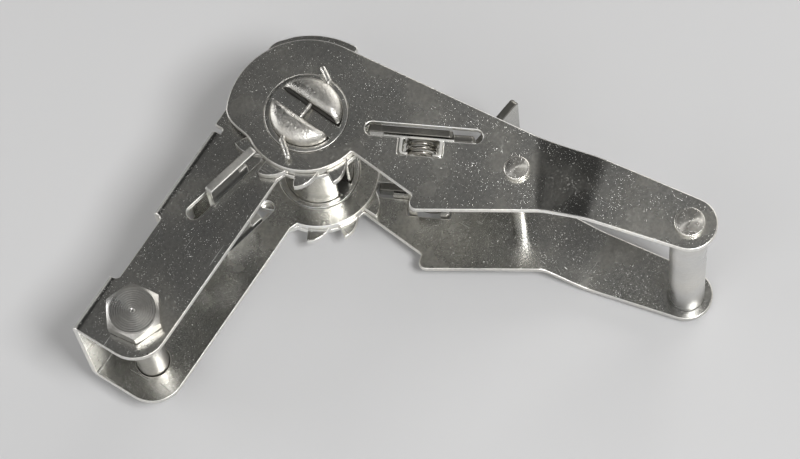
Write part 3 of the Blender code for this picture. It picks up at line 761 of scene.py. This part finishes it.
def tooth_outline():
    outline = []
    for tooth in range(12):
        base = -67.9 + 30.0 * tooth
        start, end = polar(14.5, base - 0.2), polar(18.0, base + 0.9)
        corners = [start, end]
        outline += corners
        outline += [polar(18.2, base + 1.3), polar(18.3, base + 2.0)]
        for i in range(1, 13):
            share = i / 12
            outline.append(polar(18.3 - 3.8 * share ** 1.6, base + 2.0 + 20.5 * share))
        outline += [polar(14.5, base + 25.5)]
    return outline


def make_wheel(name, side):
    bm = sheet(tooth_outline(), [arc(9.4, 0, 355, 71)], WHEEL_IN, WHEEL_OUT, 0.22)
    moons = [turned(moon_outline(8.7, 1.8), SPINDLE_ANGLE + turn) for turn in (0, 180)]
    sheet(arc(10.0, 0, 357, 119), moons, BASE_IN + 0.1, PLATE_OUT + 0.2, 0.16, bm=bm)
    if side < 0:
        for vert in bm.verts:
            vert.co.z *= -1
    place(name + "_look", bm, name, "spindle", [BRIGHT, BRIGHT_EDGE])


def moon_ring(radius, flat, corner, level, steps=48):
    """One ring of a spindle half, with the same number of points at every level."""
    half = math.degrees(math.acos(flat / radius))
    points = arc(radius, -half, half, steps)
    low, high, inner = points[0], points[-1], points[4:-4]
    outline = fillet(high, low, inner[0], corner, 5) + inner + fillet(inner[-1], high, low, corner, 5)
    outline += [(flat, high[1] * k) for k in (0.6, 0.3, 0.0, -0.3, -0.6)]
    return [(x, y, level) for x, y in outline]


def make_spindle_half(name, turn):
    """Half-round bar whose ends rise to a rounded crest away from the slot."""
    levels = [(21.7, 8.6, 1.9, 0.6), (22.6, 8.58, 1.9, 0.7), (23.3, 8.45, 2.0, 0.8), (23.75, 8.2, 2.15, 0.9),
              (24.1, 7.8, 2.4, 0.9), (24.4, 7.25, 2.7, 0.8), (24.62, 6.6, 3.05, 0.6), (24.78, 5.9, 3.4, 0.4),
              (24.86, 5.3, 3.8, 0.25)]
    upper = [moon_ring(radius, flat, corner, level) for level, radius, flat, corner in levels]
    lower = [[(x, y, -z) for x, y, z in ring] for ring in reversed(upper)]
    bm = ring_solid([[(4.5, 0, -24.9)]] + lower + upper + [[(4.5, 0, 24.9)]])
    bm.normal_update()
    for face in bm.faces:
        centre = face.calc_center_median()
        # Flat slot walls get the darker painted-shade wall material
        if abs(face.normal.x) > 0.93 and centre.x < 2.2:
            face.material_index = 1
        # Faces between the plates get the darker painted-shade barrel material
        elif abs(centre.z) < 21.0:
            face.material_index = 2
    place(name + "_look", bm, name, "spindle", [SHAFT, PAINTED_SHADE_WALL, BARREL_PAINTED_SHADE], SPINDLE_ANGLE + turn, sharp=60)


def smooth_path(points, steps=5):
    """Catmull-Rom curve through the points."""
    pts = [Vector(p) for p in points]
    path = []
    for i in range(len(pts) - 1):
        a, b, c, d = pts[max(i - 1, 0)], pts[i], pts[i + 1], pts[min(i + 2, len(pts) - 1)]
        for k in range(steps):
            t = k / steps
            path.append(0.5 * ((2 * b) + (c - a) * t + (2 * a - 5 * b + 4 * c - d) * t * t
                               + (3 * b - a - 3 * c + d) * t ** 3))
    path.append(pts[-1])
    return path


def make_split_pin(name, side):
    level = side * 23.0
    points = [(-12.1, -4.3, level), (-10.7, -2.4, level), (-9.6, -0.8, level), (-8.4, 0.0, level), (0, 0, level),
              (8.4, 0.0, level), (9.5, 0.6, level), (11.2, 3.7, level)]

    def split(turn):
        return 1.0 - 0.3 * math.exp(-(math.sin(turn) / 0.16) ** 2)
    bm = sweep(smooth_path(points, 6), 0.7, 24, split)
    for vert in bm.verts:
        if abs(vert.co.x) < 7.0:
            vert.co.y *= 0.7
            vert.co.z = level + (vert.co.z - level) * 0.7
    place(name + "_look", bm, name, "spindle", [SHAFT], SPINDLE_ANGLE, sharp=60)


# Drive pawl, guide and springs

TAB_FOLD, TAB_ANGLE, FOLD_INSIDE = 39.5, 56.8, 1.2
PAWL_LOW, PAWL_HIGH = -3.1, -1.25


def mirrored(half):
    return half + [(c[0], -c[1], *c[2:]) for c in reversed(half)]


def make_drive_pawl():
    thick = PAWL_HIGH - PAWL_LOW
    neutral = FOLD_INSIDE + thick / 2
    length = neutral * math.radians(TAB_ANGLE)
    outer = FOLD_INSIDE + thick
    end = TAB_FOLD + length + 15.4 - (outer * math.tan(math.radians(TAB_ANGLE / 2)))
    half = [(22.7, BASE_OUT + 0.1, 0.4), (15.2, BASE_OUT + 0.1, 0.5), (15.2, PLATE_OUT - 0.2, 0.5),
            (35.4, PLATE_OUT - 0.2, 1.0), (35.4, 18.6, 0.4), (40.6, 18.6, 0.8), (40.6, 15.0, 0.4), (end, 15.0, 1.2)]
    window = rounded([(25.0, -3.5, 0.5), (35.5, -3.5, 0.5), (35.5, 3.5, 0.5), (25.0, 3.5, 0.5)])
    bm = sheet(rounded(mirrored(half)), [window], PAWL_LOW, PAWL_HIGH, 0.25)
    for i in range(9):
        cut_at(bm, (TAB_FOLD + length * i / 8, 0, 0), (1, 0, 0))
    bmesh.ops.triangulate(bm, faces=[f for f in bm.faces if len(f.verts) > 4])
    centre = PAWL_HIGH + FOLD_INSIDE
    for vert in bm.verts:
        u, z, v = vert.co
        if u > TAB_FOLD:
            turn = min((u - TAB_FOLD) / neutral, math.radians(TAB_ANGLE))
            rest = max(u - TAB_FOLD - length, 0.0)
            reach = centre - v
            u = TAB_FOLD + reach * math.sin(turn) + rest * math.cos(turn)
            v = centre - reach * math.cos(turn) + rest * math.sin(turn)
        vert.co = Vector((u, v, z))
    bmesh.ops.reverse_faces(bm, faces=bm.faces)
    place("drive_pawl_look", bm, "drive_pawl", "drive_pawl", [PLATE, PAWL_EDGE], DRIVE_ANGLE)


def make_guide():
    start, end = NOTCH[0] + 0.15, NOTCH[1] - 0.15
    r, t = 1.1, 1.0
    top, strip, foot_top, foot = -3.45, -4.15, -7.55, -8.3
    hat = [(18.8, top), (18.8, strip), (start, strip, 0.3), (start, foot, r), (start + 2.4, foot), (start + 2.4, foot_top),
           (start + t, foot_top, 0.3), (start + t, strip, 0.5), (end - t, strip, 0.5), (end - t, foot_top, 0.3),
           (end - 2.4, foot_top), (end - 2.4, foot), (end, foot, r), (end, strip, 0.3), (36.0, strip), (36.0, top)]
    bm = bmesh.new()
    for side in (1, -1):
        low, high = sorted((side * (BASE_OUT + 0.4), side * (PLATE_OUT - 0.3)))
        sheet(rounded(hat, 4), [], low, high, 0.15, 2, bm=bm)
    half = BASE_OUT + 1.0
    sheet([(22.6, top + 0.001), (22.6, strip + 0.001), (36.0, strip + 0.001), (36.0, top + 0.001)], [], -half, half, 0.1, 2, bm=bm)
    lug = rounded([(34.2, -3.8), (35.0, -3.8), (35.0, 1.4, 0.2), (34.2, 1.4, 0.2)], 3)
    sheet(lug, [], -2.8, 2.8, 0.2, 2, bm=bm)
    place("drive_pawl_guide_look", bm, "drive_pawl_guide", "handle", [STRIP, BRIGHT], DRIVE_ANGLE)


def spring(name, node, body, angle, location, turn, coil_radius, wire, length, turns, sides=12, squash=None):
    bm = sweep(coil(coil_radius, length, turns), wire / 2, sides)
    matrix = Matrix.Translation(Vector(location)) @ Matrix.Rotation(math.radians(turn), 4, "Z")
    bmesh.ops.transform(bm, matrix=matrix, verts=bm.verts)
    piece = place(name, bm, node, body, [WIRE], angle, sharp=60)
    if squash:
        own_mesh(piece)


def make_springs():
    spring("drive_return_spring_look", "drive_return_spring", "handle", DRIVE_ANGLE, (25.5, -1.2, 0), 0, 1.9, 0.5, 8.3, 7,
           squash=("drive_pawl_slide", (34.2, -1.2), 0.27))
    spring("lock_spring_look", "lock_spring", "base", LOCK_ANGLE, (30.8, -2.1, 0), 0, 2.2, 0.5, 8.7, 7,
           squash=("lock_pawl_slide", (39.9, -2.1), 0.63))
    middle = sum(NOTCH[:2]) / 2
    for name, side in (("guide_spring_left", 1), ("guide_spring_right", -1)):
        spring(name + "_look", name, "handle", DRIVE_ANGLE, (middle, -4.75, side * 16.6), -90, 3.5, 0.9, 2.4, 2.5, 16)


# Lock pawl and spring seat

def make_lock_pawl():
    under = PLATE_OUT + 0.25
    half = [(22.0, BASE_IN - 0.3, 0.4), (18.6, BASE_IN - 0.3, 0.4), (18.6, WHEEL_OUT, 0.5), (21.0, WHEEL_OUT, 0.4),
            (21.0, under, 0.4), (15.2, under, 0.3), (15.2, 22.4, 0.7), (30.3, 22.4, 0.8)]
    bm = sheet(rounded(mirrored(half)), [], -3.0, -0.9, 0.28)
    for vert in bm.verts:
        u, z, v = vert.co
        vert.co = Vector((u, v, z))
    place("lock_pawl_look", bm, "lock_pawl", "lock_pawl", [DARK, EAR_EDGE], LOCK_ANGLE,
          baked=False)


def line_cross(u_value, y_value, angle):
    along = Vector(polar(1.0, angle))
    v_value = (y_value - u_value * along.y) / along.x
    return (u_value * along.x - v_value * along.y, y_value)


def make_lock_seat():
    inner, outer = BACK_Y - 2.35, BACK_Y - 1.55
    a, b = turned([(40.0, 0.6), (40.8, 0.6)], LOCK_ANGLE)
    outline = rounded([(*a, 0.3), (*line_cross(40.0, inner, LOCK_ANGLE), 0.8), (-29.0, inner, 0.3), (-29.0, outer, 0.3),
                       (*line_cross(40.8, outer, LOCK_ANGLE), 1.5), (*b, 0.3)], 5)
    bm = sheet(outline, [], -5.0, 5.0, 0.2)
    place("lock_spring_seat_look", bm, "lock_spring_seat", "base", [PLATE, EDGE])


make_base()
make_anchor()
make_handle_plate("handle_plate_left", 1)
make_handle_plate("handle_plate_right", -1)
make_grip()
make_wheel("ratchet_wheel_left", 1)
make_wheel("ratchet_wheel_right", -1)
make_spindle_half("spindle_half_a", 0)
make_spindle_half("spindle_half_b", 180)
make_split_pin("split_pin_left", 1)
make_split_pin("split_pin_right", -1)
make_drive_pawl()
make_guide()
make_springs()
make_lock_pawl()
make_lock_seat()


# Floor, light and camera

def make_floor():
    mesh = bpy.data.meshes.new("floor")
    size = 4.0
    level = CAD_BOX[0].z - 0.0002
    mesh.from_pydata([(-size, -size, level), (size, -size, level), (size, size, level), (-size, size, level)], [], [(0, 1, 2, 3)])
    material = bpy.data.materials.new("pale_floor")
    material.use_nodes = True
    shader = material.node_tree.nodes["Principled BSDF"]
    shader.inputs["Base Color"].default_value = (0.72, 0.72, 0.725, 1)
    shader.inputs["Roughness"].default_value = 0.6
    shader.inputs["Specular IOR Level"].default_value = 0.15
    mesh.materials.append(material)
    floor = bpy.data.objects.new("floor", mesh)
    bpy.context.scene.collection.objects.link(floor)


def make_sky():
    """Soft studio dome: dark overhead, bright towards the horizon."""
    world = bpy.data.worlds.new("studio")
    world.use_nodes = True
    tree = world.node_tree
    background = tree.nodes["Background"]
    coords = tree.nodes.new("ShaderNodeTexCoord")
    split = tree.nodes.new("ShaderNodeSeparateXYZ")
    ramp = tree.nodes.new("ShaderNodeValToRGB")
    tree.links.new(coords.outputs["Generated"], split.inputs[0])
    tree.links.new(split.outputs["Z"], ramp.inputs["Fac"])
    stops = [(0.0, 0.75), (0.10, 1.0), (0.20, 0.65), (0.34, 0.25), (0.7, 0.17), (1.0, 0.24)]
    while len(ramp.color_ramp.elements) < len(stops):
        ramp.color_ramp.elements.new(0.5)
    for element, (position, level) in zip(ramp.color_ramp.elements, stops):
        element.position = position
        element.color = (level, level * 0.99, level * 0.97, 1)
    light = ramp.outputs["Color"]
    for direction, edge, core, level in (((0.157, 0.737, 0.652), 0.80, 0.95, 0.16), ((0.80, 0.58, 0.12), 0.72, 0.92, 0.3)):
        towards = tree.nodes.new("ShaderNodeVectorMath")
        towards.operation = "DOT_PRODUCT"
        towards.inputs[1].default_value = Vector(direction).normalized()
        tree.links.new(coords.outputs["Generated"], towards.inputs[0])
        patch = tree.nodes.new("ShaderNodeMapRange")
        patch.interpolation_type = "SMOOTHSTEP"
        for key, value in (("From Min", edge), ("From Max", core), ("To Min", 1.0), ("To Max", level)):
            patch.inputs[key].default_value = value
        tree.links.new(towards.outputs["Value"], patch.inputs["Value"])
        dimmed = tree.nodes.new("ShaderNodeVectorMath")
        dimmed.operation = "SCALE"
        tree.links.new(light, dimmed.inputs[0])
        tree.links.new(patch.outputs["Result"], dimmed.inputs["Scale"])
        light = dimmed.outputs[0]
    tree.links.new(light, background.inputs["Color"])
    background.inputs["Strength"].default_value = 1.0
    bpy.context.scene.world = world


def softbox(name, location, size, energy, colour=(1, 1, 1)):
    light = bpy.data.lights.new(name, "AREA")
    light.shape = "RECTANGLE"
    light.size, light.size_y = size
    light.energy = energy
    light.color = colour
    lamp = bpy.data.objects.new(name, light)
    lamp.location = location
    lamp.rotation_euler = (Vector((-0.01, -0.06, 0)) - Vector(location)).to_track_quat("-Z", "Y").to_euler()
    bpy.context.scene.collection.objects.link(lamp)


def make_camera():
    data = bpy.data.cameras.new("camera")
    data.lens = 151.2
    data.sensor_width = 36
    camera = bpy.data.objects.new("camera", data)
    camera.location = AXIS + Vector((-0.22158, -0.22553, 0.75673))
    camera.rotation_euler = (math.radians(20.705), math.radians(3.584), math.radians(-57))
    bpy.context.scene.collection.objects.link(camera)
    bpy.context.scene.camera = camera


make_floor()
make_sky()
softbox("key_light", (-0.05, -0.47, 0.87), (0.24, 0.24), 4.9)
softbox("fill_light", (-0.70, -0.12, 0.80), (0.8, 0.8), 2.0)
softbox("side_light", (0.95, -0.1, 0.35), (0.7, 0.3), 2.5, (1.0, 0.985, 0.96))
softbox("back_light", (-0.35, 0.95, 0.3), (0.7, 0.3), 2.5)
make_camera()
bpy.context.scene.view_settings.view_transform = "Standard"
